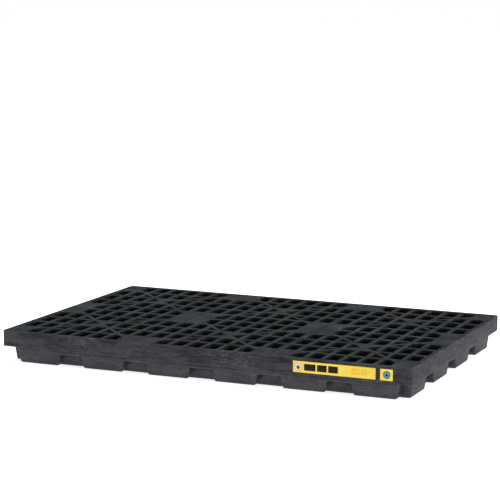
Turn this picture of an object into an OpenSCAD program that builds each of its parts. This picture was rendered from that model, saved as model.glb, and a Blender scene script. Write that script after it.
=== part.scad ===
// Low-profile spill containment pallet for six drums, in two rows of three.
// One moulded sump tray carries three lift-out grates, and two adhesive labels
// sit on its front band.
// The origin is the centre of the footprint, on the ground. +X runs along the
// long side, the labelled front faces -Y, and +Z is up. All sizes are in mm.

/* [Tray] */
// Overall length, along X
tray_l = 1854; // [1840:1:1900]
// Overall width, along Y
tray_w = 1245; // [1235:1:1285]
// Overall height
tray_h = 140; // [136:1:160]
// Radius of the band's four upright corners
corner_r = 14; // [6:1:25]
// Width of the rim's top
rim_t = 8.5; // [7:0.5:10]
// Wall and floor thickness
wall_t = 6; // [5:0.5:7]

/* [Band and blocks] */
// Height of the underside of the band that runs round the top
band_z = 70; // [66:1:74]
// How far the lower body's faces stand back from the band, at the band
block_inset = 22; // [20:1:30]
// How much further back those faces are at the ground
block_draft = 6; // [3:1:8]
// Spacing of the blocks, which is the same on all four sides
block_pitch = 305; // [300:1:308]
// Width of a block at the ground
block_foot_w = 182; // [170:1:190]
// Width of a block at the top of the notches
block_head_w = 201; // [192:1:208]
// Height of a notch
notch_z = 49; // [44:1:54]
// Depth of a notch at the ground
notch_depth = 27; // [22:1:32]

/* [Posts] */
// Radius of a support post at the floor
post_foot_r = 92; // [84:1:96]
// Radius of a support post at its top
post_head_r = 72; // [66:1:78]

/* [Grates] */
// Drop of the grates' top below the rim
grate_drop = 1; // [0.5:0.5:4]
// Gap between a grate and the rim
side_gap = 4; // [3:0.5:6]
// Gap between two grates
seam_gap = 4; // [3:0.5:6]
// Width of a rib at the top
rib_w = 18; // [14:1:20]
// Width of the ribs that run corner to corner
diagonal_w = 16; // [12:1:18]
// Width of the rib along a grate's edge
edge_w = 10; // [10:0.5:14]
// Depth of the wide top of a rib
flange_h = 14; // [12:1:20]
// Thickness of the web below it
web_t = 5; // [4:0.5:8]
// Thickness of the solid pads
pad_t = 7; // [5:1:10]

/* [Labels] */
// Long label, along X and Z
strip_size = [355, 49]; // [45:1:360]
// Square label, along X and Z
badge_size = [55.5, 49]; // [45:0.5:60]
// X of the long label's centre
strip_x = 598.5; // [500:0.5:605]
// X of the square label's centre
badge_x = 820.5; // [815:0.5:860]
// Height of the labels' centre
label_z = 104.2; // [98:0.2:112]
// Thickness of a label
label_t = 0.3; // [0.2:0.1:0.5]

/* [Hidden] */
$fn = 64;
// Overlap that keeps joined and cut faces apart
lap = 1;
grate_count = 3;
// Cells of one drum position, along X and Y
cells_x = 8;
cells_y = 5;
label_r = 2.5;
// Corner radius of the pocket that the grates drop into
pocket_r = 6;

ledge_z = band_z + wall_t;
pocket = [tray_l - 2 * rim_t, tray_w - 2 * rim_t];
body_head = [tray_l - 2 * block_inset, tray_w - 2 * block_inset];
body_foot = shrink(body_head, block_draft);
// Block centres, as multiples of half a pitch
blocks_x = [-5, -3, -1, 1, 3, 5];
blocks_y = [-3, -1, 1, 3];
// Centres of the outermost blocks
last_block = [5 * block_pitch, 3 * block_pitch] / 2;
// The core's outer faces are the back walls of the notches
core = shrink(body_foot, notch_depth);
// Post centres: two between the grates, six under the drum positions
posts = [[-1, 0], [1, 0], [-2, -1], [0, -1], [2, -1], [-2, 1], [0, 1], [2, 1]];

grate_x = (pocket.x - 2 * side_gap - (grate_count - 1) * seam_gap) / grate_count;
grate_y = pocket.y - 2 * side_gap;
grate_top = tray_h - grate_drop;
// The lattice's outermost rib lines stand this far in from the grate's edge
border = edge_w - rib_w / 2;
// One drum position is half the lattice
bay = [grate_x - 2 * border, grate_y / 2 - border];
cell = [bay.x / cells_x, bay.y / cells_y];
diagonal_angle = atan2(bay.y, bay.x);
// Half width of the hub's solid sectors where they meet the middle row's ribs
hub_half_w = cell.y / 2 * bay.x / bay.y;

// A size made smaller by the same amount on all four sides
function shrink(size, by) = [size.x - 2 * by, size.y - 2 * by];

module rounded_rect(size, r) {
    square([size.x - 2 * r, size.y], center = true);
    square([size.x, size.y - 2 * r], center = true);
    for (x = [-1, 1], y = [-1, 1])
        translate([x * (size.x / 2 - r), y * (size.y / 2 - r)]) circle(r);
}

module trapezoid(foot, head, h) {
    slope = (head - foot) / h / 2;
    top = band_z + wall_t + lap;
    polygon([[-foot / 2, 0], [foot / 2, 0],
             [foot / 2 + slope * top, top], [-foot / 2 - slope * top, top]]);
}

// A profile drawn in X and Z, run the whole way along Y
module along_y() {
    rotate([90, 0, 0]) linear_extrude(tray_w, center = true) children();
}

// A profile drawn in Y and Z, run the whole way along X
module along_x() {
    rotate([90, 0, 90]) linear_extrude(tray_l, center = true) children();
}

// A block with four sloping sides, foot being its plan at the ground and head at h
module frustum(foot, head, h) {
    intersection() {
        along_y() trapezoid(foot.x, head.x, h);
        along_x() trapezoid(foot.y, head.y, h);
    }
}

// The blocks' tapered sides, each carried right through the body
module block_strips(skin) {
    foot = block_foot_w - 2 * skin;
    head = block_head_w - 2 * skin;
    for (i = blocks_x)
        along_y() translate([i * block_pitch / 2, 0]) trapezoid(foot, head, notch_z);
    for (i = blocks_y)
        along_x() translate([i * block_pitch / 2, 0]) trapezoid(foot, head, notch_z);
}

// A plan of the given size whose four corners are left out, as far in as the
// middle of the outermost blocks
module cross_plan(size) {
    square([size.x, 2 * last_block.y], center = true);
    square([2 * last_block.x, size.y], center = true);
}

// Everything below the band: a core, and the blocks and the lintel around it.
// Nothing joins two blocks across a corner. skin is 0 for the outside and the
// wall thickness for the inside.
module lower_body(skin) {
    top = band_z + skin + lap;
    intersection() {
        translate([0, 0, skin])
            linear_extrude(top - skin) square([tray_l, tray_w], center = true);
        union() {
            linear_extrude(band_z) cross_plan(shrink(core, skin));
            intersection() {
                frustum(shrink(body_foot, skin), shrink(body_head, skin), band_z);
                union() {
                    block_strips(skin);
                    translate([0, 0, notch_z + skin])
                        linear_extrude(top - notch_z - skin)
                            cross_plan([tray_l, tray_w]);
                }
            }
        }
    }
}

module post(foot_r, head_r, h) {
    cylinder(r1 = foot_r, r2 = head_r, h = h);
}

module at_posts() {
    for (p = posts)
        translate([p.x * block_pitch, p.y * block_pitch, 0]) children();
}

module tray_shell() {
    difference() {
        union() {
            lower_body(0);
            translate([0, 0, band_z])
                linear_extrude(tray_h - band_z)
                    rounded_rect([tray_l, tray_w], corner_r);
        }
        lower_body(wall_t);
        translate([0, 0, ledge_z])
            linear_extrude(tray_h - ledge_z + lap)
                rounded_rect(pocket, pocket_r);
    }
}

module sump_tray() {
    color("#4a494e")
        difference() {
            union() {
                tray_shell();
                at_posts() post(post_foot_r, post_head_r, ledge_z);
            }
            at_posts() translate([0, 0, -lap])
                post(post_foot_r - wall_t, post_head_r - wall_t, band_z + lap);
        }
}

// Plan of a grate's ribs, and of the webs under them
module rib_plan(rib, diagonal, edge) {
    intersection() {
        square([grate_x, grate_y], center = true);
        union() {
            for (i = [1 : cells_x - 1])
                translate([i * cell.x - bay.x / 2, 0])
                    square([rib, grate_y], center = true);
            for (j = [1 : 2 * cells_y - 1])
                translate([0, j * cell.y - bay.y])
                    square([grate_x, rib], center = true);
            for (side = [-1, 1])
                translate([0, side * bay.y / 2])
                    intersection() {
                        square(bay, center = true);
                        union() {
                            for (turn = [-1, 1])
                                rotate(turn * diagonal_angle)
                                    square([2 * norm(bay), diagonal], center = true);
                        }
                    }
        }
    }
    difference() {
        square([grate_x, grate_y], center = true);
        square([grate_x - 2 * edge, grate_y - 2 * edge], center = true);
    }
}

// Solid pads in the corners of each drum position, and its hub
module pad_plan() {
    for (side = [-1, 1])
        translate([0, side * bay.y / 2]) {
            for (x = [-1, 1], y = [-1, 1])
                translate([x * (bay.x - cell.x) / 2, y * (bay.y - cell.y) / 2])
                    square(cell, center = true);
            for (y = [-1, 1])
                polygon([[0, 0], [-hub_half_w, y * cell.y / 2],
                         [hub_half_w, y * cell.y / 2]]);
        }
}

module grate(place) {
    color("#3d4649")
        translate([place * (grate_x + seam_gap), 0, 0]) {
            translate([0, 0, ledge_z])
                linear_extrude(grate_top - ledge_z) rib_plan(web_t, web_t, web_t);
            translate([0, 0, grate_top - flange_h])
                linear_extrude(flange_h) rib_plan(rib_w, diagonal_w, edge_w);
            translate([0, 0, grate_top - pad_t])
                linear_extrude(pad_t) pad_plan();
        }
}

module grate_left() {
    grate(-1);
}

module grate_middle() {
    grate(0);
}

module grate_right() {
    grate(1);
}

module label(size, x) {
    color("#ffe164")
        translate([x, -tray_w / 2, label_z])
            rotate([90, 0, 0]) linear_extrude(label_t) rounded_rect(size, label_r);
}

module label_strip() {
    label(strip_size, strip_x);
}

module label_badge() {
    label(badge_size, badge_x);
}

sump_tray();
grate_left();
grate_middle();
grate_right();
label_strip();
label_badge();
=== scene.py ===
import math

import bmesh
import bpy
from mathutils import Matrix, Vector


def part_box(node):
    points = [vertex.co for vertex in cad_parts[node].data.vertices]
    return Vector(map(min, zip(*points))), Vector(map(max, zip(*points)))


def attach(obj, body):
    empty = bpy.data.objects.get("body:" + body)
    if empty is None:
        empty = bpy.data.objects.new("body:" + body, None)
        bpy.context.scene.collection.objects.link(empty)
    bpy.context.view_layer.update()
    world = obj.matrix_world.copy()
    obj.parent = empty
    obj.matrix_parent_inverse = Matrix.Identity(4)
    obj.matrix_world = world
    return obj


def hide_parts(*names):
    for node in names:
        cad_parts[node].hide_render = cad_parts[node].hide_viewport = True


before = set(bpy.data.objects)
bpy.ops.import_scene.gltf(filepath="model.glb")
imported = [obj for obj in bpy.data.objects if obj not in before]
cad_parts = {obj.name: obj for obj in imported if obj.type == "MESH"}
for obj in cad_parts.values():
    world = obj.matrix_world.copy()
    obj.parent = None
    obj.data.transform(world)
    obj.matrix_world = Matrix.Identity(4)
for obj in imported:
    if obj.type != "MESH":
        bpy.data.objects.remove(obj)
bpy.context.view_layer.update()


cameraSet = {
    "place": (3.187, -7.590, 1.730),
    "turn": 22.993,      # degrees to the left of straight in
    "dip": 8.746,
    "roll": 0.371,
    "lens": 136.49,
    "sensor": 36.0,
    "farthest": 100.0,
}


def setCamera():
    data = bpy.data.cameras.new("camera")
    data.lens = cameraSet["lens"]
    data.sensor_width = cameraSet["sensor"]
    data.clip_end = cameraSet["farthest"]
    camera = bpy.data.objects.new("camera", data)
    bpy.context.scene.collection.objects.link(camera)
    turn = Matrix.Rotation(math.radians(cameraSet["turn"]), 4, "Z")
    dip = Matrix.Rotation(math.radians(90.0 - cameraSet["dip"]), 4, "X")
    roll = Matrix.Rotation(math.radians(cameraSet["roll"]), 4, "Z")
    camera.matrix_world = Matrix.Translation(cameraSet["place"]) @ turn @ dip @ roll
    bpy.context.scene.camera = camera
    print("camera set")


modelSet = {
    "level": 0.9,        # a normal past this counts as straight up or down
    "onPlane": 0.0001,   # a face this near to a height is at it
    "nearby": 0.001,     # and a point this near to an outline is on it
    "fold": 25.0,        # edges sharper than this get a radius
    "crease": 40.0,      # and those sharper than this stay sharp in shading
}


def inObjectMode():
    if bpy.context.mode != "OBJECT":
        bpy.ops.object.mode_set(mode="OBJECT")


def deselectAll():
    inObjectMode()
    bpy.ops.object.select_all(action="DESELECT")


def triple(axis, value, others=0.0):
    # value on one axis, and the same number on the two others
    numbers = [others, others, others]
    numbers[axis] = value
    return numbers


def takeUp(piece):
    deselectAll()
    piece.select_set(True)
    bpy.context.view_layer.objects.active = piece


def addBox(name, centre, size):
    deselectAll()
    bpy.ops.mesh.primitive_cube_add(size=1.0, location=centre, scale=size)
    piece = bpy.context.object
    piece.name = name
    bpy.ops.object.transform_apply(location=True, rotation=True, scale=True)
    return piece


def editFaces(piece):
    takeUp(piece)
    bpy.ops.object.mode_set(mode="EDIT")
    bpy.ops.mesh.select_mode(type="FACE")


def pickFaces(piece, test):
    # selects the faces whose centre and normal pass the test
    mesh = bmesh.from_edit_mesh(piece.data)
    for face in mesh.faces:
        face.select_set(False)
    for face in mesh.faces:
        if test(face.calc_center_median(), face.normal):
            face.select_set(True)
    bmesh.update_edit_mesh(piece.data)


def pickPoints(piece, test):
    # selects the points whose place passes the test
    bpy.ops.mesh.select_mode(type="VERT")
    mesh = bmesh.from_edit_mesh(piece.data)
    for point in mesh.verts:
        point.select_set(test(point.co))
    mesh.select_flush(False)
    bmesh.update_edit_mesh(piece.data)


def moveFaces(step):
    bpy.ops.mesh.extrude_region_move(TRANSFORM_OT_translate={"value": step})


def cutAcross(axis, at):
    # scores what is selected along the plane that crosses an axis at a place
    bpy.ops.mesh.bisect(plane_co=triple(axis, at), plane_no=triple(axis, 1.0))


def scaleAbout(centre, factors):
    bpy.ops.transform.resize(value=factors, center_override=centre)


def squeeze(axis, factor, place=0.0):
    # scales what is selected along one axis, about a place on it
    scaleAbout(triple(axis, place), triple(axis, factor, 1.0))


def applyModifier(piece, kind, **values):
    takeUp(piece)
    modifier = piece.modifiers.new(kind.lower(), kind)
    for key, value in values.items():
        setattr(modifier, key, value)
    bpy.ops.object.modifier_apply(modifier=modifier.name)


def roundEdges(piece, widest, radiusFor, segments):
    # every sharp edge gets the radius that radiusFor gives for its middle and direction
    inObjectMode()
    mesh = bmesh.new()
    mesh.from_mesh(piece.data)
    weight = mesh.edges.layers.float.new("bevel_weight_edge")
    fold = math.radians(modelSet["fold"])
    for edge in mesh.edges:
        if len(edge.link_faces) == 2 and edge.calc_face_angle(0.0) > fold:
            middle = (edge.verts[0].co + edge.verts[1].co) / 2
            along = (edge.verts[1].co - edge.verts[0].co).normalized()
            edge[weight] = min(1.0, radiusFor(middle, along, edge) / widest)
    mesh.to_mesh(piece.data)
    mesh.free()
    applyModifier(piece, "BEVEL", limit_method="WEIGHT", width=widest, segments=segments,
                  use_clamp_overlap=False, loop_slide=True)


def finishMesh(piece):
    takeUp(piece)
    bpy.ops.object.mode_set(mode="EDIT")
    bpy.ops.mesh.select_all(action="SELECT")
    bpy.ops.mesh.normals_make_consistent(inside=False)
    bpy.ops.object.mode_set(mode="OBJECT")
    bpy.ops.object.shade_smooth_by_angle(angle=math.radians(modelSet["crease"]))
    print(piece.name, "modelled,", len(piece.data.polygons), "faces")


traySet = {
    "bandZ": 0.070,      # underside of the band
    "notchZ": 0.049,     # roof of the notches
    "wall": 0.006,
    "rim": 0.0085,
    "cornerR": 0.014,
    "cornerSteps": 8,
    "inset": 0.022,      # lower body behind the band, at the band
    "draft": 0.006,      # and how much more at the ground
    "notchDepth": 0.027,
    "pitch": 0.305,
    "blocksX": (-5, -3, -1, 1, 3, 5),    # block centres, in half pitches
    "blocksY": (-3, -1, 1, 3),
    "footW": 0.182,
    "headW": 0.201,
    "posts": ((-1, 0), (1, 0), (-2, -1), (0, -1), (2, -1), (-2, 1), (0, 1), (2, 1)),    # in pitches
    "postFoot": 0.092,
    "postHead": 0.072,
    "postSides": 64,
    "postGap": 0.00001,  # keeps the hollows' faces off the tray's own
    "merge": 0.00002,
    "bodyEdge": 0.008,   # edge radii
    "bandEdge": 0.004,
    "rimEdge": 0.003,
    "pocketEdge": 0.0024,
    "sumpEdge": 0.005,
    "edgeSteps": 3,
}


def planTray():
    # the tray's half sizes and block places, each a pair for X and Y
    cut = traySet
    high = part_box("sump_tray")[1]
    half = (high.x, high.y)
    head = [size - cut["inset"] for size in half]
    foot = [size - cut["draft"] for size in head]
    taper = (cut["headW"] - cut["footW"]) / 2 / cut["notchZ"]
    return {
        "rimZ": high.z,
        "half": half,
        "inner": [size - cut["wall"] for size in half],
        "head": head,
        "foot": foot,
        "core": [size - cut["notchDepth"] for size in foot],
        "blocks": [[i * cut["pitch"] / 2 for i in cut[key]] for key in ("blocksX", "blocksY")],
        "headHalfW": cut["headW"] / 2,
        "bandHalfW": cut["footW"] / 2 + taper * cut["bandZ"],
        "drop": cut["draft"] * (cut["bandZ"] - cut["notchZ"]) / cut["bandZ"],
    }


def isUnder(c, n, z):
    return n.z < -modelSet["level"] and abs(c.z - z) < modelSet["onPlane"]


def cutUnder(tray, plan, z, axis, at):
    # scores the lower body's downward faces at a height
    headX, headY = plan["head"]
    pickFaces(tray, lambda c, n: isUnder(c, n, z) and abs(c.x) < headX and abs(c.y) < headY)
    cutAcross(axis, at)


def drawLintel(tray, plan):
    # everything but the four corners is drawn down to the roofs of the notches
    bandZ = traySet["bandZ"]
    notchZ = traySet["notchZ"]
    onPlane = modelSet["onPlane"]
    nearby = modelSet["nearby"]
    headX, headY = plan["head"]
    lastX, lastY = [places[-1] + plan["bandHalfW"] for places in plan["blocks"]]
    for side in (-1, 1):
        cutUnder(tray, plan, bandZ, 0, side * lastX)
        cutUnder(tray, plan, bandZ, 1, side * lastY)
    pickFaces(tray, lambda c, n: isUnder(c, n, bandZ) and (
        abs(c.x) < lastX and abs(c.y) < headY or abs(c.y) < lastY and abs(c.x) < headX))
    moveFaces((0, 0, notchZ - bandZ))
    for axis, last, head in ((0, lastX, headX), (1, lastY, headY)):
        pickPoints(tray, lambda p: abs(p.z - notchZ) < onPlane and abs(abs(p[axis]) - last) < nearby)
        squeeze(axis, (plan["blocks"][axis][-1] + plan["headHalfW"]) / last)
        pickPoints(tray, lambda p: abs(p.z - notchZ) < onPlane and abs(p[axis]) > head - nearby)
        squeeze(axis, 1 - plan["drop"] / head)
    bpy.ops.mesh.select_mode(type="FACE")


def drawBlocks(tray, plan):
    # the roofs are cut along the blocks and the core, which go on down to the ground
    notchZ = traySet["notchZ"]
    nearby = modelSet["nearby"]
    coreX, coreY = plan["core"]
    halfW = plan["headHalfW"]
    for axis in (0, 1):
        for side in (-1, 1):
            cutUnder(tray, plan, notchZ, axis, side * plan["core"][axis])
            for place in plan["blocks"][axis]:
                cutUnder(tray, plan, notchZ, axis, place + side * halfW)

    def inBlock(value, places):
        return any(abs(value - place) < halfW for place in places)

    blocksX, blocksY = plan["blocks"]
    pickFaces(tray, lambda c, n: isUnder(c, n, notchZ) and (
        abs(c.x) < coreX and abs(c.y) < coreY or inBlock(c.x, blocksX) or inBlock(c.y, blocksY)))
    moveFaces((0, 0, -notchZ))

    # the blocks narrow, and the body leans in, towards the ground
    for axis in (0, 1):
        for place in plan["blocks"][axis]:
            pickPoints(tray, lambda p: p.z < nearby and abs(p[axis] - place) < halfW + nearby)
            squeeze(axis, traySet["footW"] / traySet["headW"], place)
        foot = plan["foot"][axis]
        pickPoints(tray, lambda p: p.z < nearby and abs(p[axis]) > foot - 2 * nearby)
        squeeze(axis, foot / (plan["head"][axis] - plan["drop"]))
    bpy.ops.mesh.select_mode(type="FACE")

    # the faces under the band are left out, because dissolving them covers the sump
    pickFaces(tray, lambda c, n: n.z < -modelSet["level"] and c.z < notchZ + nearby)
    bpy.ops.mesh.dissolve_limited(angle_limit=math.radians(1))


def hollowPosts(tray, plan):
    # the hollow under each support post, with an edge ready across each row of them
    cut = traySet
    bandZ = cut["bandZ"]
    for row in sorted({i for i, j in cut["posts"]}):
        cutUnder(tray, plan, 0.0, 0, row * cut["pitch"])
    hollows = []
    for i, j in cut["posts"]:
        deselectAll()
        bpy.ops.mesh.primitive_cone_add(
            vertices=cut["postSides"], depth=bandZ,
            radius1=cut["postFoot"] - cut["wall"], radius2=cut["postHead"] - cut["wall"],
            location=(i * cut["pitch"], j * cut["pitch"], bandZ / 2 - cut["postGap"]))
        hollows.append(bpy.context.object)
    takeUp(hollows[0])
    for hollow in hollows:
        hollow.select_set(True)
    bpy.ops.object.join()
    bpy.ops.object.transform_apply(location=True, rotation=True, scale=True)
    cutter = bpy.context.object
    applyModifier(tray, "BOOLEAN", operation="DIFFERENCE", solver="EXACT", object=cutter)
    bpy.data.objects.remove(cutter)


def openTop(tray, plan):
    # round the band's corners, open the top and give the shell its wall
    nearby = modelSet["nearby"]
    halfX, halfY = plan["half"]
    bandHeight = plan["rimZ"] - traySet["bandZ"]
    editFaces(tray)
    bpy.ops.mesh.select_mode(type="EDGE")
    mesh = bmesh.from_edit_mesh(tray.data)
    for edge in mesh.edges:
        a, b = edge.verts[0].co, edge.verts[1].co
        upright = abs(a.z - b.z) > bandHeight - nearby
        edge.select_set(upright and min(abs(a.x), abs(b.x)) > halfX - nearby
                        and min(abs(a.y), abs(b.y)) > halfY - nearby)
    bmesh.update_edit_mesh(tray.data)
    bpy.ops.mesh.bevel(offset=traySet["cornerR"], segments=traySet["cornerSteps"], affect="EDGES")
    bpy.ops.mesh.select_mode(type="FACE")
    pickFaces(tray, lambda c, n: n.z > modelSet["level"] and c.z > plan["rimZ"] - nearby)
    bpy.ops.mesh.delete(type="FACE")
    bpy.ops.mesh.select_all(action="SELECT")
    bpy.ops.mesh.remove_doubles(threshold=traySet["merge"])
    bpy.ops.mesh.normals_make_consistent(inside=False)
    applyModifier(tray, "SOLIDIFY", thickness=traySet["wall"], offset=-1.0, use_even_offset=True,
                  use_quality_normals=True)


def thickenRim(tray, plan):
    # the rim's wall is thicker than the rest
    cut = traySet
    nearby = modelSet["nearby"]
    ledgeZ = cut["bandZ"] + cut["wall"]
    halfX, halfY = plan["half"]
    innerX, innerY = plan["inner"]

    def isPocket(p):
        inside = abs(p.x) < innerX + nearby and abs(p.y) < innerY + nearby
        outer = abs(p.x) > innerX - cut["cornerR"] or abs(p.y) > innerY - cut["cornerR"]
        return p.z > ledgeZ - nearby and inside and outer

    editFaces(tray)
    pickPoints(tray, isPocket)
    scaleAbout((0, 0, 0), ((halfX - cut["rim"]) / innerX, (halfY - cut["rim"]) / innerY, 1))


def roundTray(tray, plan):
    cut = traySet
    nearby = modelSet["nearby"]
    innerX, innerY = plan["inner"]
    footX, footY = plan["foot"]

    def radiusFor(middle, along, edge):
        onBand = abs(middle.x) > innerX + nearby or abs(middle.y) > innerY + nearby
        onRim = middle.z > plan["rimZ"] - nearby
        if onBand:
            return cut["rimEdge"] if onRim else cut["bandEdge"]
        if onRim:
            return cut["pocketEdge"]
        onBlock = abs(middle.x) > footX - nearby or abs(middle.y) > footY - nearby
        steep = abs(along.z) > 0.5
        if middle.z < nearby or onBlock and steep:
            return cut["bodyEdge"]
        return cut["sumpEdge"]

    roundEdges(tray, cut["bodyEdge"], radiusFor, cut["edgeSteps"])


def buildTray():
    # starts from the band, with the outline of the lower body on its underside
    plan = planTray()
    bandZ = traySet["bandZ"]
    rimZ = plan["rimZ"]
    halfX, halfY = plan["half"]
    tray = addBox("tray", (0, 0, (bandZ + rimZ) / 2), (2 * halfX, 2 * halfY, rimZ - bandZ))
    editFaces(tray)
    pickFaces(tray, lambda c, n: n.z < -modelSet["level"])
    bpy.ops.mesh.inset(thickness=traySet["inset"], use_even_offset=True)
    drawLintel(tray, plan)
    drawBlocks(tray, plan)
    hollowPosts(tray, plan)
    openTop(tray, plan)
    thickenRim(tray, plan)
    roundTray(tray, plan)
    finishMesh(tray)
    return tray


grateSet = {
    "cellsX": 8,         # cells of one drum position
    "cellsY": 5,
    "rib": 0.018,
    "diagonal": 0.016,
    "edge": 0.010,
    "flange": 0.014,     # depth of a rib's wide top
    "web": 0.005,
    "pad": 0.007,
    "margin": 0.002,     # no cut runs nearer to the outline than this
    "merge": 0.00005,
    "cornerR": 0.005,    # edge radii
    "fillet": 0.003,
    "topEdge": 0.0018,
    "flangeEdge": 0.00108,
    "webEdge": 0.0009,
    "edgeSteps": 2,
}


def planGrate():
    # the lattice's sizes and lines, each a pair for X and Y
    cut = grateSet
    low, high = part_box("grate_middle")
    sizeX = high.x - low.x
    sizeY = high.y - low.y
    border = cut["edge"] - cut["rib"] / 2
    bayX = sizeX - 2 * border
    bayY = sizeY / 2 - border
    cellX = bayX / cut["cellsX"]
    cellY = bayY / cut["cellsY"]
    slant = Vector((bayY, -bayX, 0)).normalized()
    return {
        "lowZ": low.z,
        "topZ": high.z,
        "flangeZ": high.z - cut["flange"],
        "size": (sizeX, sizeY),
        "bay": (bayX, bayY),
        "cell": (cellX, cellY),
        "lines": ([i * cellX - bayX / 2 for i in range(cut["cellsX"] + 1)],
                  [j * cellY - bayY for j in range(2 * cut["cellsY"] + 1)]),
        "slants": (slant, Vector((slant.x, -slant.y, 0))),
    }


def ribSides(width):
    # both sides of a rib's top and of the web under it
    web = grateSet["web"]
    return (-width / 2, -web / 2, web / 2, width / 2)


def scoreGrate(grate, plan):
    # both sides of every rib and web are scored across the plate
    for axis in (0, 1):
        for line in plan["lines"][axis]:
            for offset in ribSides(grateSet["rib"]):
                if abs(line + offset) <= plan["size"][axis] / 2 - grateSet["margin"]:
                    bpy.ops.mesh.select_all(action="SELECT")
                    cutAcross(axis, line + offset)
    for side in (-1, 1):
        middle = Vector((0, side * plan["bay"][1] / 2, plan["topZ"]))
        for facing in plan["slants"]:
            for offset in ribSides(grateSet["diagonal"]):
                pickFaces(grate, lambda c, n: c.y * side > 0)
                bpy.ops.mesh.bisect(plane_co=middle + facing * offset, plane_no=facing)


def inRib(plan, c, rib, diagonal, edge):
    # tells if a face belongs to ribs of these widths
    linesX, linesY = plan["lines"]
    sizeX, sizeY = plan["size"]
    if any(abs(c.x - x) < rib / 2 for x in linesX) or any(abs(c.y - y) < rib / 2 for y in linesY):
        return True
    if abs(c.x) > sizeX / 2 - edge or abs(c.y) > sizeY / 2 - edge:
        return True
    middle = Vector((0, math.copysign(plan["bay"][1] / 2, c.y), c.z))
    return any(abs((c - middle).dot(facing)) < diagonal / 2 for facing in plan["slants"])


def inFlange(plan, c):
    return inRib(plan, c, grateSet["rib"], grateSet["diagonal"], grateSet["edge"])


def inWeb(plan, c):
    return inRib(plan, c, grateSet["web"], grateSet["web"], grateSet["web"])


def inPad(plan, c):
    # tells if a face is in a corner pad or in the hub of its drum position
    bayX, bayY = plan["bay"]
    cellX, cellY = plan["cell"]
    x = abs(c.x)
    y = abs(abs(c.y) - bayY / 2)
    inCorner = x > bayX / 2 - cellX and y > bayY / 2 - cellY
    inHub = y < cellY / 2 and x < y * bayX / bayY
    return inCorner or inHub


def openCells(grate, plan):
    # the plate without its cells is thickened into the flange
    pickFaces(grate, lambda c, n: not inFlange(plan, c) and not inPad(plan, c))
    bpy.ops.mesh.delete(type="FACE")
    bpy.ops.mesh.select_all(action="SELECT")
    bpy.ops.mesh.remove_doubles(threshold=grateSet["merge"])
    bpy.ops.mesh.normals_make_consistent(inside=False)
    mesh = bmesh.from_edit_mesh(grate.data)
    if sum(face.normal.z for face in mesh.faces) < 0:
        bpy.ops.mesh.flip_normals()
    applyModifier(grate, "SOLIDIFY", thickness=grateSet["flange"], offset=-1.0, use_even_offset=False)


def drawWebs(grate, plan):
    # the webs go down to the ledge, and the pads are made thinner from below
    flangeZ = plan["flangeZ"]
    editFaces(grate)
    pickFaces(grate, lambda c, n: isUnder(c, n, flangeZ) and inWeb(plan, c))
    moveFaces((0, 0, plan["lowZ"] - flangeZ))
    pickFaces(grate, lambda c, n: isUnder(c, n, flangeZ) and not inFlange(plan, c))
    moveFaces((0, 0, grateSet["flange"] - grateSet["pad"]))


def roundGrate(grate, plan):
    cut = grateSet
    nearby = modelSet["nearby"]
    halfX, halfY = [size / 2 for size in plan["size"]]

    def radiusFor(middle, along, edge):
        outer = abs(middle.x) > halfX - nearby or abs(middle.y) > halfY - nearby
        upright = abs(along.z) > modelSet["level"]
        if upright and outer:
            return cut["cornerR"]
        tall = edge.calc_length() > cut["flange"] * 0.9    # the whole side of a rib's wide top
        if upright and tall and middle.z > plan["flangeZ"]:
            return cut["fillet"]
        if middle.z > plan["topZ"] - nearby:
            return cut["topEdge"]
        if middle.z < plan["lowZ"] + nearby:
            return cut["webEdge"]
        if not upright and abs(middle.z - plan["flangeZ"]) < nearby:
            return cut["flangeEdge"]
        return 0.0

    roundEdges(grate, cut["cornerR"], radiusFor, cut["edgeSteps"])


def buildGrate():
    # starts from a flat plate as large as the grate
    plan = planGrate()
    deselectAll()
    bpy.ops.mesh.primitive_plane_add(size=1.0, location=(0, 0, plan["topZ"]))
    grate = bpy.context.object
    grate.name = "grate"
    grate.scale = (*plan["size"], 1)
    bpy.ops.object.transform_apply(location=True, rotation=True, scale=True)
    editFaces(grate)
    scoreGrate(grate, plan)
    openCells(grate, plan)
    drawWebs(grate, plan)
    roundGrate(grate, plan)
    finishMesh(grate)
    return grate


def copyPiece(piece, name, step):
    takeUp(piece)
    bpy.ops.object.duplicate(linked=False)
    other = bpy.context.object
    other.name = name
    other.location = step
    bpy.ops.object.transform_apply(location=True, rotation=True, scale=True)
    return other


labelSet = {
    "cornerR": 0.0025,
    "cornerSteps": 6,
}


def buildLabel(name, node):
    low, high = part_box(node)
    label = addBox(name, (low + high) / 2, high - low)

    def radiusFor(middle, along, edge):
        return labelSet["cornerR"] if abs(along.y) > modelSet["level"] else 0.0

    roundEdges(label, labelSet["cornerR"], radiusFor, labelSet["cornerSteps"])
    finishMesh(label)
    return label


def addNode(tree, kind, **values):
    node = tree.nodes.new("ShaderNode" + kind)
    for key, value in values.items():
        setattr(node, key, value)
    return node


def feed(tree, socket, value):
    # a socket is linked, anything else is set on the input
    if isinstance(value, bpy.types.NodeSocket):
        tree.links.new(value, socket)
    else:
        socket.default_value = value


def calc(tree, operation, first, second=0.0, third=0.0, clamp=False):
    node = addNode(tree, "Math", operation=operation, use_clamp=clamp)
    for socket, value in zip(node.inputs, (first, second, third)):
        feed(tree, socket, value)
    return node.outputs[0]


def stretch(tree, value, low, high, outLow=0.0, outHigh=1.0):
    node = addNode(tree, "MapRange", interpolation_type="SMOOTHSTEP")
    for name, setting in (("Value", value), ("From Min", low), ("From Max", high),
                          ("To Min", outLow), ("To Max", outHigh)):
        feed(tree, node.inputs[name], setting)
    return node.outputs["Result"]


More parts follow.
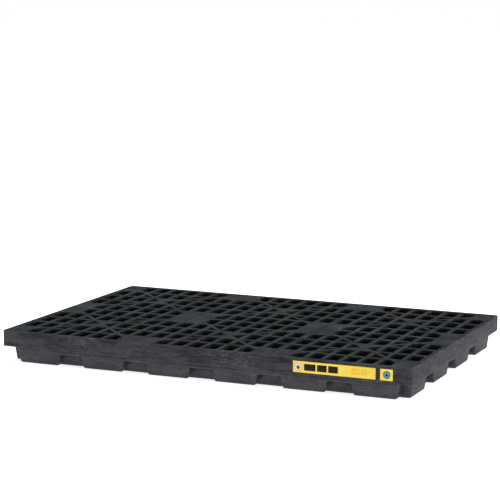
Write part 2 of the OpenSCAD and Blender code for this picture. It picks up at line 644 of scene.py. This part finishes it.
def noise(tree, position, scale, detail=3.0, roughness=0.55, distortion=0.0):
    node = addNode(tree, "TexNoise")
    for name, setting in (("Vector", position), ("Scale", scale), ("Detail", detail),
                          ("Roughness", roughness), ("Distortion", distortion)):
        feed(tree, node.inputs[name], setting)
    return node.outputs["Fac"]


def turned(tree, position, angles, scale):
    node = addNode(tree, "Mapping")
    feed(tree, node.inputs["Vector"], position)
    node.inputs["Rotation"].default_value = [math.radians(angle) for angle in angles]
    node.inputs["Scale"].default_value = scale
    return node.outputs["Vector"]


def blend(tree, amount, first, second):
    node = addNode(tree, "Mix", data_type="RGBA")
    feed(tree, node.inputs[0], amount)
    feed(tree, node.inputs[6], first)
    feed(tree, node.inputs[7], second)
    return node.outputs[2]


def startGroup(name, inputs):
    # gives a group that puts out one mask, with its inputs and its output socket
    tree = bpy.data.node_groups.new(name, "ShaderNodeTree")
    for label, kind, value in inputs:
        socket = tree.interface.new_socket(name=label, in_out="INPUT", socket_type="NodeSocket" + kind)
        if kind == "Float":
            socket.default_value = value
    tree.interface.new_socket(name="Mask", in_out="OUTPUT", socket_type="NodeSocketFloat")
    return tree, tree.nodes.new("NodeGroupInput").outputs, tree.nodes.new("NodeGroupOutput").inputs[0]


def useGroup(tree, group, **values):
    node = addNode(tree, "Group", node_tree=group)
    for key, value in values.items():
        feed(tree, node.inputs[key], value)
    return node.outputs[0]


def makeSpeckleGroup():
    # small pale grains of unmelted recycled plastic
    tree, given, out = startGroup("speckle", (
        ("Position", "Vector", None), ("Scale", "Float", 220.0), ("Amount", "Float", 0.5)))
    fine = noise(tree, given["Position"], given["Scale"], detail=2.0, roughness=0.6)
    patches = noise(tree, given["Position"], 7.0)
    level = calc(tree, "MULTIPLY_ADD", given["Amount"], -0.16, 0.68)
    grains = stretch(tree, fine, level, calc(tree, "ADD", level, 0.10))
    tree.links.new(calc(tree, "MULTIPLY", grains, stretch(tree, patches, 0.35, 0.65, 0.35, 1.0)), out)
    return tree


def makeFlowGroup():
    # long pale streaks where the melt swirled along the mould
    tree, given, out = startGroup("flowMarks", (("Position", "Vector", None), ("Warp", "Float", 0.12)))
    warp = addNode(tree, "TexNoise")
    feed(tree, warp.inputs["Vector"], given["Position"])
    warp.inputs["Scale"].default_value = 3.2
    warp.inputs["Detail"].default_value = 2.0
    scaled = addNode(tree, "VectorMath", operation="SCALE")
    feed(tree, scaled.inputs[0], warp.outputs["Color"])
    feed(tree, scaled.inputs["Scale"], given["Warp"])
    moved = addNode(tree, "VectorMath", operation="ADD")
    feed(tree, moved.inputs[0], given["Position"])
    feed(tree, moved.inputs[1], scaled.outputs[0])
    wide = turned(tree, moved.outputs[0], (30, 48, 20), (6.0, 8.0, 22.0))
    narrow = turned(tree, moved.outputs[0], (-20, 64, 35), (12.0, 16.0, 80.0))
    broad = noise(tree, wide, 1.0, detail=4.0, roughness=0.65, distortion=0.9)
    thin = noise(tree, narrow, 1.0, detail=3.0, roughness=0.65, distortion=0.5)
    mixed = calc(tree, "MULTIPLY_ADD", thin, 0.45, calc(tree, "MULTIPLY", broad, 0.55))
    tree.links.new(stretch(tree, mixed, 0.39, 0.61), out)
    return tree


def makeScuffGroup():
    # scratched patches, each a bundle of short strokes
    tree, given, out = startGroup("scuffs", (("Position", "Vector", None), ("Amount", "Float", 0.5)))
    patch = noise(tree, given["Position"], 4.5, roughness=0.5)
    level = calc(tree, "MULTIPLY_ADD", given["Amount"], -0.22, 0.70)
    patch = stretch(tree, patch, level, calc(tree, "ADD", level, 0.12))
    ways = (((10, 35, -25), (60.0, 90.0, 420.0), 0.56), ((40, -30, 15), (70.0, 80.0, 380.0), 0.58))
    strokes = []
    for angles, scale, start in ways:
        strands = turned(tree, given["Position"], angles, scale)
        lines = noise(tree, strands, 1.0, roughness=0.7, distortion=0.3)
        strokes.append(stretch(tree, lines, start, start + 0.14))
    tree.links.new(calc(tree, "MULTIPLY", patch, calc(tree, "MAXIMUM", strokes[0], strokes[1])), out)
    return tree


def makeEdgeGroup():
    # the surface is near an edge where its rounded normal leaves its true one
    tree, given, out = startGroup("edgeWear", (
        ("Position", "Vector", None), ("Radius", "Float", 0.006), ("Breakup", "Float", 0.5)))
    rounded = addNode(tree, "Bevel", samples=6)
    feed(tree, rounded.inputs["Radius"], given["Radius"])
    flat = addNode(tree, "NewGeometry")
    dot = addNode(tree, "VectorMath", operation="DOT_PRODUCT")
    feed(tree, dot.inputs[0], rounded.outputs["Normal"])
    feed(tree, dot.inputs[1], flat.outputs["True Normal"])
    edge = stretch(tree, dot.outputs["Value"], 0.995, 0.88)
    broken = noise(tree, given["Position"], 45.0, detail=4.0, roughness=0.65)
    kept = stretch(tree, broken, calc(tree, "MULTIPLY", given["Breakup"], 0.5), 0.72)
    tree.links.new(calc(tree, "MULTIPLY", edge, kept), out)
    return tree


def makeDustGroup():
    # a thin film that settles on faces that look up
    tree, given, out = startGroup("dust", (("Position", "Vector", None), ("Amount", "Float", 0.5)))
    split = addNode(tree, "SeparateXYZ")
    feed(tree, split.inputs[0], addNode(tree, "NewGeometry").outputs["Normal"])
    up = stretch(tree, split.outputs["Z"], 0.55, 0.95)
    cloud = stretch(tree, noise(tree, given["Position"], 9.0, detail=5.0, roughness=0.65), 0.35, 0.75)
    tree.links.new(calc(tree, "MULTIPLY", calc(tree, "MULTIPLY", up, cloud), given["Amount"]), out)
    return tree


def makeHollowShadeAndLightGroup():
    # a mask of creases and corners found by ambient occlusion, through which shade is painted on the tray
    # and light on the grate's cells
    tree, given, out = startGroup("hollowShadeAndLight", (("Position", "Vector", None), ("Reach", "Float", 0.03)))
    shut = addNode(tree, "AmbientOcclusion", samples=8, only_local=True)
    feed(tree, shut.inputs["Distance"], given["Reach"])
    depth = stretch(tree, shut.outputs["AO"], 0.88, 0.50)
    cloud = noise(tree, given["Position"], 30.0, detail=4.0, roughness=0.6)
    tree.links.new(calc(tree, "MULTIPLY", depth, stretch(tree, cloud, 0.1, 0.6, 0.6, 1.0)), out)
    return tree


def makeCornerGroup():
    # rises towards the upright corners of a box of the given half size
    tree, given, out = startGroup("corners", (
        ("Position", "Vector", None), ("Half X", "Float", 0.9), ("Half Y", "Float", 0.6),
        ("Reach", "Float", 0.2)))
    split = addNode(tree, "SeparateXYZ")
    feed(tree, split.inputs[0], given["Position"])
    sides = []
    for axis in "XY":
        away = calc(tree, "SUBTRACT", given["Half " + axis], calc(tree, "ABSOLUTE", split.outputs[axis]))
        sides.append(stretch(tree, away, given["Reach"], 0.0))
    tree.links.new(calc(tree, "MULTIPLY", sides[0], sides[1]), out)
    return tree


def makeBarGroup():
    # a soft-edged rectangle on an upright label, in X and Z
    tree, given, out = startGroup("bar", (
        ("Position", "Vector", None), ("X", "Float", 0.0), ("Z", "Float", 0.0),
        ("Half Width", "Float", 0.01), ("Half Height", "Float", 0.01), ("Softness", "Float", 0.0003)))
    split = addNode(tree, "SeparateXYZ")
    feed(tree, split.inputs[0], given["Position"])
    sides = []
    for axis, size in (("X", "Half Width"), ("Z", "Half Height")):
        away = calc(tree, "ABSOLUTE", calc(tree, "SUBTRACT", split.outputs[axis], given[axis]))
        sides.append(stretch(tree, calc(tree, "SUBTRACT", given[size], away), 0.0, given["Softness"]))
    tree.links.new(calc(tree, "MULTIPLY", sides[0], sides[1]), out)
    return tree


def makeDiscGroup():
    # a soft-edged disc on an upright label, whose upper half Squash narrows to a drop
    tree, given, out = startGroup("disc", (
        ("Position", "Vector", None), ("X", "Float", 0.0), ("Z", "Float", 0.0),
        ("Radius", "Float", 0.01), ("Squash", "Float", 0.0), ("Softness", "Float", 0.0003)))
    split = addNode(tree, "SeparateXYZ")
    feed(tree, split.inputs[0], given["Position"])
    x = calc(tree, "SUBTRACT", split.outputs["X"], given["X"])
    z = calc(tree, "SUBTRACT", split.outputs["Z"], given["Z"])
    rise = calc(tree, "MAXIMUM", calc(tree, "DIVIDE", z, given["Radius"]), 0.0)
    x = calc(tree, "MULTIPLY", x, calc(tree, "MULTIPLY_ADD", rise, given["Squash"], 1.0))
    z = calc(tree, "MULTIPLY", z, calc(tree, "MULTIPLY_ADD", given["Squash"], -0.12, 1.0))
    squared = calc(tree, "ADD", calc(tree, "MULTIPLY", x, x), calc(tree, "MULTIPLY", z, z))
    away = calc(tree, "SQRT", squared)
    tree.links.new(stretch(tree, calc(tree, "SUBTRACT", given["Radius"], away), 0.0, given["Softness"]), out)
    return tree


groups = {
    "speckle": makeSpeckleGroup(),
    "flow": makeFlowGroup(),
    "scuff": makeScuffGroup(),
    "edge": makeEdgeGroup(),
    "dust": makeDustGroup(),
    "hollowShadeAndLight": makeHollowShadeAndLightGroup(),
    "corner": makeCornerGroup(),
    "bar": makeBarGroup(),
    "disc": makeDiscGroup(),
}


def newMaterial(name):
    # gives the material, its tree, its shader's sockets and the place on the piece
    material = bpy.data.materials.new(name)
    material.use_nodes = True
    tree = material.node_tree
    tree.nodes.clear()
    out = addNode(tree, "OutputMaterial")
    shader = addNode(tree, "BsdfPrincipled")
    tree.links.new(shader.outputs["BSDF"], out.inputs["Surface"])
    place = addNode(tree, "TexCoord").outputs["Object"]
    print(name, "mixed")
    return material, tree, shader.inputs, place


def rgb(red, green, blue):
    return (red, green, blue, 1.0)


def bumpFrom(tree, height, strength, distance):
    node = addNode(tree, "Bump")
    feed(tree, node.inputs["Height"], height)
    node.inputs["Strength"].default_value = strength
    node.inputs["Distance"].default_value = distance
    return node.outputs["Normal"]


trayPaint = {
    "dark": rgb(0.008, 0.0078, 0.0105),
    "light": rgb(0.055, 0.0535, 0.0660),
    "speck": rgb(0.20, 0.20, 0.215),
    "scuff": rgb(0.24, 0.235, 0.245),
    "worn": rgb(0.13, 0.13, 0.142),
    "dust": rgb(0.22, 0.215, 0.205),
    "speckle": 0.62,
    "scuffs": 0.62,
    "edgeRadius": 0.007,
    "dustAmount": 0.25,
    # painted shade in the tray's creases and corners, and how fully it covers
    "hollowShadeAndLight": rgb(0.003, 0.003, 0.0035),
    "hollowShadeAndLightAmount": 0.95,
    "paintedBounce": rgb(0.110, 0.108, 0.124),    # painted floor light: the lower body painted paler, and where it ends
    "paintedBounceTop": 0.062,
    "paintedBounceAmount": 0.28,
}

gratePaint = {
    "dark": rgb(0.010, 0.0130, 0.0150),
    "light": rgb(0.030, 0.038, 0.043),
    "speck": rgb(0.16, 0.165, 0.17),
    "scuff": rgb(0.20, 0.205, 0.21),
    "worn": rgb(0.12, 0.125, 0.13),
    "dust": rgb(0.20, 0.20, 0.195),
    "speckle": 0.52,
    "scuffs": 0.50,
    "edgeRadius": 0.004,
    "dustAmount": 0.30,
    # painted light: the grate's shut-in cells are painted a lighter brown, and how fully
    "hollowShadeAndLight": rgb(0.075, 0.061, 0.059),
    "hollowShadeAndLightAmount": 0.75,
}

# what the two plastics share
plasticSet = {
    "flow": 0.65,        # parts of the plastic's own shade
    "mottle": 0.35,
    "speck": 0.55,       # how fully each layer covers
    "scuff": 0.7,
    "worn": 0.6,
    "dust": 0.5,
    "knocks": 0.9,       # extra scuffs at the pallet's corners, and how far they reach
    "knockReach": 0.16,
    # how far from a crease the painted shade and light reach
    "hollowShadeAndLightReach": 0.032,
    # how far the painted floor light fades out at its top
    "paintedBounceFade": 0.004,
    "rough": 0.60,       # roughness, and what each layer adds to it
    "roughMottle": 0.12,
    "roughDust": 0.25,
    "roughScuff": 0.15,
    "roughWorn": -0.10,
    "shine": 0.15,
    "bump": 0.5,
    "bumpDepth": 0.0006,
}


def cover(tree, colour, mask, amount, over):
    return blend(tree, calc(tree, "MULTIPLY", mask, amount), colour, over)


def knockMask(tree, place):
    # rises towards the pallet's four corners
    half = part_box("sump_tray")[1]
    return useGroup(tree, groups["corner"], **{
        "Position": place, "Half X": half.x, "Half Y": half.y, "Reach": plasticSet["knockReach"]})


# paints the lower body paler below a height, as light bounced up from the floor
def paintedBounceOver(tree, place, colour, paint):
    split = addNode(tree, "SeparateXYZ")
    feed(tree, split.inputs[0], place)
    top = paint["paintedBounceTop"]
    below = stretch(tree, split.outputs["Z"], top, top - plasticSet["paintedBounceFade"])
    return cover(tree, colour, below, paint["paintedBounceAmount"], paint["paintedBounce"])


def plasticBump(tree, place, scuff):
    grain = noise(tree, place, 900.0, roughness=0.6)
    waves = noise(tree, place, 14.0, detail=2.0)
    height = calc(tree, "MULTIPLY_ADD", waves, 2.2, calc(tree, "MULTIPLY", grain, 0.25))
    height = calc(tree, "MULTIPLY_ADD", scuff, -0.25, height)
    return bumpFrom(tree, height, plasticSet["bump"], plasticSet["bumpDepth"])


def plasticMaterial(name, paint):
    material, tree, shader, place = newMaterial(name)
    share = plasticSet
    flow = useGroup(tree, groups["flow"], Position=place)
    mottle = stretch(tree, noise(tree, place, 26.0, detail=5.0, roughness=0.7), 0.3, 0.7)
    speckle = useGroup(tree, groups["speckle"], Position=place, Amount=paint["speckle"])
    knocks = calc(tree, "MULTIPLY_ADD", knockMask(tree, place), share["knocks"], paint["scuffs"])
    scuff = useGroup(tree, groups["scuff"], Position=place, Amount=knocks)
    # where shade is painted into the tray's hollows and light into the grate's cells
    hollowShadeAndLight = useGroup(tree, groups["hollowShadeAndLight"], Position=place, Reach=share["hollowShadeAndLightReach"])
    edge = useGroup(tree, groups["edge"], Position=place, Radius=paint["edgeRadius"])
    dust = useGroup(tree, groups["dust"], Position=place, Amount=paint["dustAmount"])

    # the plastic's own shade, then each layer over the last
    shade = calc(tree, "MULTIPLY_ADD", mottle, share["mottle"], calc(tree, "MULTIPLY", flow, share["flow"]))
    colour = blend(tree, shade, paint["dark"], paint["light"])
    # painted light: the lower body made paler, as if lit from the floor
    if "paintedBounce" in paint:
        colour = paintedBounceOver(tree, place, colour, paint)
    colour = cover(tree, colour, speckle, share["speck"], paint["speck"])
    colour = cover(tree, colour, scuff, share["scuff"], paint["scuff"])
    colour = cover(tree, colour, edge, share["worn"], paint["worn"])
    colour = cover(tree, colour, dust, share["dust"], paint["dust"])
    # the hollows get painted shade on the tray and painted light on the grate
    colour = cover(tree, colour, hollowShadeAndLight, paint["hollowShadeAndLightAmount"], paint["hollowShadeAndLight"])
    feed(tree, shader["Base Color"], colour)

    rough = calc(tree, "MULTIPLY_ADD", mottle, share["roughMottle"], share["rough"])
    rough = calc(tree, "MULTIPLY_ADD", dust, share["roughDust"], rough)
    rough = calc(tree, "MULTIPLY_ADD", scuff, share["roughScuff"], rough)
    rough = calc(tree, "MULTIPLY_ADD", edge, share["roughWorn"], rough, clamp=True)
    feed(tree, shader["Roughness"], rough)
    shader["Specular IOR Level"].default_value = share["shine"]
    feed(tree, shader["Normal"], plasticBump(tree, place, scuff))
    return material


labelPaint = {
    "film": rgb(0.92, 0.66, 0.075),
    "filmFaded": rgb(0.94, 0.74, 0.14),
    "ink": rgb(0.012, 0.010, 0.006),
    "amber": rgb(0.50, 0.25, 0.015),
    "white": rgb(0.72, 0.72, 0.66),
    "teal": rgb(0.015, 0.12, 0.16),
    "blue": rgb(0.10, 0.34, 0.47),
    "scuffs": 0.35,
    "scuffCover": 0.35,
    "rough": 0.42,
    "roughScuff": 0.3,
    "shine": 0.12,
    "bump": 0.15,
    "bumpDepth": 0.0004,
}

# a disc is its ink, radius, squash and how far it sits below the emblem's middle
stripPrint = {
    "border": 0.0011,
    "emblemX": 0.024,    # places along X start at the label's left end
    "emblem": (("amber", 0.0165, 0.0, 0.0), ("white", 0.0150, 0.0, 0.0), ("teal", 0.0078, 0.9, 0.0015)),
    "bars": ((0.0740, 0.0250), (0.1260, 0.0210), (0.1740, 0.0210)),      # centre and half width
    "barHalfH": 0.0140,
    "lines": ((0.2830, 0.0330, 0.0105), (0.2900, 0.0400, 0.0020), (0.2850, 0.0350, -0.0065)),
    "lineHalfH": 0.0019,
    "lineInk": 0.7,
}

badgePrint = {
    "border": 0.0011,
    "emblemX": 0.001,    # right of the label's middle
    "emblem": (("teal", 0.0158, 0.0, 0.0), ("blue", 0.0118, 0.0, 0.0), ("ink", 0.0058, 0.7, 0.001)),
}


def barMask(tree, place, x, z, halfWidth, halfHeight):
    return useGroup(tree, groups["bar"], **{
        "Position": place, "X": x, "Z": z, "Half Width": halfWidth, "Half Height": halfHeight})


def filmBase(tree, place, low, high, border):
    # the film's colour, faded in patches, inside a dark printed border
    fade = stretch(tree, noise(tree, place, 30.0, detail=4.0), 0.35, 0.75)
    colour = blend(tree, fade, labelPaint["film"], labelPaint["filmFaded"])
    middle = (low + high) / 2
    half = (high - low) / 2
    inside = barMask(tree, place, middle.x, middle.z, half.x - border, half.z - border)
    return blend(tree, inside, labelPaint["ink"], colour)


def printEmblem(tree, place, colour, discs, x, z):
    for ink, radius, squash, drop in discs:
        mask = useGroup(tree, groups["disc"], Position=place, X=x, Z=z - drop, Radius=radius, Squash=squash)
        colour = blend(tree, mask, colour, labelPaint[ink])
    return colour


def finishFilm(tree, shader, place, colour):
    scuff = useGroup(tree, groups["scuff"], Position=place, Amount=labelPaint["scuffs"])
    colour = cover(tree, colour, scuff, labelPaint["scuffCover"], labelPaint["white"])
    feed(tree, shader["Base Color"], colour)
    rough = calc(tree, "MULTIPLY_ADD", scuff, labelPaint["roughScuff"], labelPaint["rough"])
    feed(tree, shader["Roughness"], rough)
    ripples = noise(tree, place, 60.0, detail=2.0)
    feed(tree, shader["Normal"], bumpFrom(tree, ripples, labelPaint["bump"], labelPaint["bumpDepth"]))
    shader["Specular IOR Level"].default_value = labelPaint["shine"]


def stripMaterial():
    material, tree, shader, place = newMaterial("stripFilm")
    low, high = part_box("label_strip")
    middleZ = ((low + high) / 2).z
    colour = filmBase(tree, place, low, high, stripPrint["border"])
    colour = printEmblem(tree, place, colour, stripPrint["emblem"], low.x + stripPrint["emblemX"], middleZ)
    for x, half in stripPrint["bars"]:
        bar = barMask(tree, place, low.x + x, middleZ, half, stripPrint["barHalfH"])
        colour = blend(tree, bar, colour, labelPaint["ink"])

    # rows of broken dashes, which hold no letters
    dashes = noise(tree, turned(tree, place, (0, 0, 0), (260.0, 1.0, 120.0)), 1.0, detail=1.0)
    dashes = calc(tree, "MULTIPLY", stretch(tree, dashes, 0.42, 0.47), stripPrint["lineInk"])
    for x, half, rise in stripPrint["lines"]:
        line = barMask(tree, place, low.x + x, middleZ + rise, half, stripPrint["lineHalfH"])
        colour = cover(tree, colour, line, dashes, labelPaint["amber"])
    finishFilm(tree, shader, place, colour)
    return material


def badgeMaterial():
    material, tree, shader, place = newMaterial("badgeFilm")
    low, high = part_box("label_badge")
    middle = (low + high) / 2
    emblemX = middle.x + badgePrint["emblemX"]
    colour = filmBase(tree, place, low, high, badgePrint["border"])
    colour = printEmblem(tree, place, colour, badgePrint["emblem"], emblemX, middle.z)
    finishFilm(tree, shader, place, colour)
    return material


def dress(piece, material):
    piece.data.materials.clear()
    piece.data.materials.append(material)


stageSet = {
    "floor": rgb(0.93, 0.93, 0.93),
    "floorSize": 80.0,
    "floorRough": 0.9,
    "floorShine": 0.1,
    "floorGlow": 0.80,
    "sky": rgb(1.0, 1.0, 1.0),           # what the camera sees behind the object
    "horizon": rgb(0.025, 0.026, 0.030), # what lights it, from low down to overhead
    "overhead": rgb(0.76, 0.76, 0.76),
    "fade": (0.20, 0.95),
    "skyPower": 1.0,
}

lightSet = {
    "key": {"from": (3.2, 0.5, 2.4), "angle": 30.0, "power": 0.55},
    "top": {"from": (0.4, 0.5, 4.2), "angle": 50.0, "power": 1.25},
}


def addSun(name, setting):
    data = bpy.data.lights.new(name, "SUN")
    data.angle = math.radians(setting["angle"])
    data.energy = setting["power"]
    light = bpy.data.objects.new(name, data)
    light.location = setting["from"]
    light.rotation_euler = (-Vector(setting["from"])).to_track_quat("-Z", "Y").to_euler()
    bpy.context.scene.collection.objects.link(light)


def setFloor():
    deselectAll()
    bpy.ops.mesh.primitive_plane_add(size=stageSet["floorSize"], location=(0, 0, 0))
    floor = bpy.context.object
    floor.name = "floor"
    material, _, shader, _ = newMaterial("floorPaint")
    shader["Base Color"].default_value = stageSet["floor"]
    shader["Roughness"].default_value = stageSet["floorRough"]
    shader["Specular IOR Level"].default_value = stageSet["floorShine"]
    shader["Emission Color"].default_value = stageSet["sky"]
    shader["Emission Strength"].default_value = stageSet["floorGlow"]
    dress(floor, material)


def setSky():
    world = bpy.data.worlds.new("studio")
    bpy.context.scene.world = world
    world.use_nodes = True
    tree = world.node_tree
    split = addNode(tree, "SeparateXYZ")
    feed(tree, split.inputs[0], addNode(tree, "TexCoord").outputs["Generated"])
    height = stretch(tree, split.outputs["Z"], *stageSet["fade"])
    light = blend(tree, height, stageSet["horizon"], stageSet["overhead"])
    seen = addNode(tree, "LightPath").outputs["Is Camera Ray"]
    background = tree.nodes["Background"]
    feed(tree, background.inputs["Color"], blend(tree, seen, light, stageSet["sky"]))
    background.inputs["Strength"].default_value = stageSet["skyPower"]


def setStage():
    setFloor()
    setSky()
    for name, setting in lightSet.items():
        addSun(name, setting)
    bpy.context.scene.view_settings.view_transform = "Standard"
    print("stage set")


setCamera()
setStage()

trayPlastic = plasticMaterial("trayPlastic", trayPaint)
gratePlastic = plasticMaterial("gratePlastic", gratePaint)

tray = buildTray()
dress(tray, trayPlastic)
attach(tray, "tray")
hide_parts("sump_tray")

middleGrate = buildGrate()
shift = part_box("grate_right")[0].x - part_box("grate_middle")[0].x
grates = {
    "left": copyPiece(middleGrate, "leftGrate", (-shift, 0, 0)),
    "middle": middleGrate,
    "right": copyPiece(middleGrate, "rightGrate", (shift, 0, 0)),
}
for side, grate in grates.items():
    dress(grate, gratePlastic)
    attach(grate, side + "_grate")
    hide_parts("grate_" + side)

labels = (
    ("longLabel", "label_strip", stripMaterial()),
    ("squareLabel", "label_badge", badgeMaterial()),
)
for name, node, film in labels:
    label = buildLabel(name, node)
    dress(label, film)
    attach(label, "tray")
    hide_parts(node)
